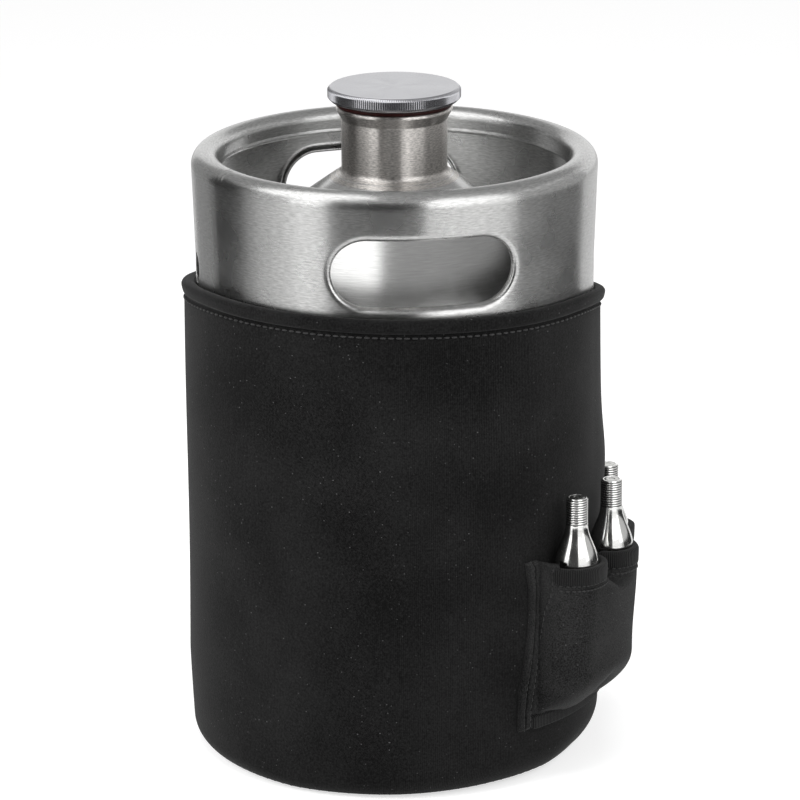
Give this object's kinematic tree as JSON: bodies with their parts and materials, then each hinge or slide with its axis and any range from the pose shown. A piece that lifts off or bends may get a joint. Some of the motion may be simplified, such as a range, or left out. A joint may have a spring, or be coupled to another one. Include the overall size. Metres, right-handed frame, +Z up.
{
  "type": "mini keg",
  "caption": "Stainless steel mini keg with a knurled screw lid and handholes, standing in a black neoprene jacket whose side pocket holds threaded gas cartridges.",
  "frame": {"origin": "middle of the jacket's base panel, on the surface the keg stands on", "axes": "+Z up along the keg's axis, -Y out through the front handhole, +X towards the pocket's middle"},
  "size_m": [0.2002, 0.1808, 0.2913],
  "materials": {
    "stainless_wall": "2B mill finish",
    "stainless_dome": "satin, spun",
    "stainless_neck": "turned and brushed round",
    "stainless_ring": "brushed round the ring",
    "stainless_lid": "fine turned, knurled edge",
    "silicone": "moulded, satin",
    "neoprene": "knit-faced neoprene, matte",
    "binding": "knit edge binding, matte",
    "plated_steel": "zinc plated, bright",
    "seal_foil": "stamped cap, bright"
  },
  "bodies": {
    "jacket": {"jacket_sleeve": "neoprene", "jacket_hem": "neoprene", "jacket_base": "neoprene", "pocket_panel": "neoprene", "pocket_front_strip": "neoprene", "pocket_back_strip": "neoprene", "pocket_bottom_binding": "binding", "cell_binding_1": "binding", "cell_binding_2": "binding", "cell_binding_3": "binding", "cell_binding_4": "binding"},
    "keg": {"keg_wall": "stainless_wall", "keg_bottom": "stainless_wall", "keg_dome": "stainless_dome", "keg_neck": "stainless_neck", "handle_ring": "stainless_ring"},
    "gasket": {"lid_gasket": "silicone"},
    "lid": {"screw_lid": "stainless_lid"},
    "cartridge_1": {"gas_cartridge_1": "plated_steel", "cartridge_seal_1": "seal_foil"},
    "cartridge_2": {"gas_cartridge_2": "plated_steel", "cartridge_seal_2": "seal_foil"},
    "cartridge_3": {"gas_cartridge_3": "plated_steel", "cartridge_seal_3": "seal_foil"}
  },
  "joints": [
    {"name": "keg_lift", "type": "slide", "parent": "jacket", "child": "keg", "axis": [0, 0, 1], "range_m": [0, 0.23]},
    {"name": "lid_lift", "type": "slide", "parent": "keg", "child": "gasket", "axis": [0, 0, 1], "range_m": [0, 0.012]},
    {"name": "lid_turn", "type": "hinge", "parent": "gasket", "child": "lid", "pos_m": [0, 0, 0.2854], "axis": [0, 0, 1], "range_deg": [0, 1440]},
    {"name": "cartridge_1_lift", "type": "slide", "parent": "jacket", "child": "cartridge_1", "axis": [0, 0, 1], "range_m": [0, 0.068]},
    {"name": "cartridge_2_lift", "type": "slide", "parent": "jacket", "child": "cartridge_2", "axis": [0, 0, 1], "range_m": [0, 0.068]},
    {"name": "cartridge_3_lift", "type": "slide", "parent": "jacket", "child": "cartridge_3", "axis": [0, 0, 1], "range_m": [0, 0.068]}
  ],
  "couplings": [
    {"joint": "lid_lift", "follows": "lid_turn", "m_per_rad": 0.00047746}
  ]
}
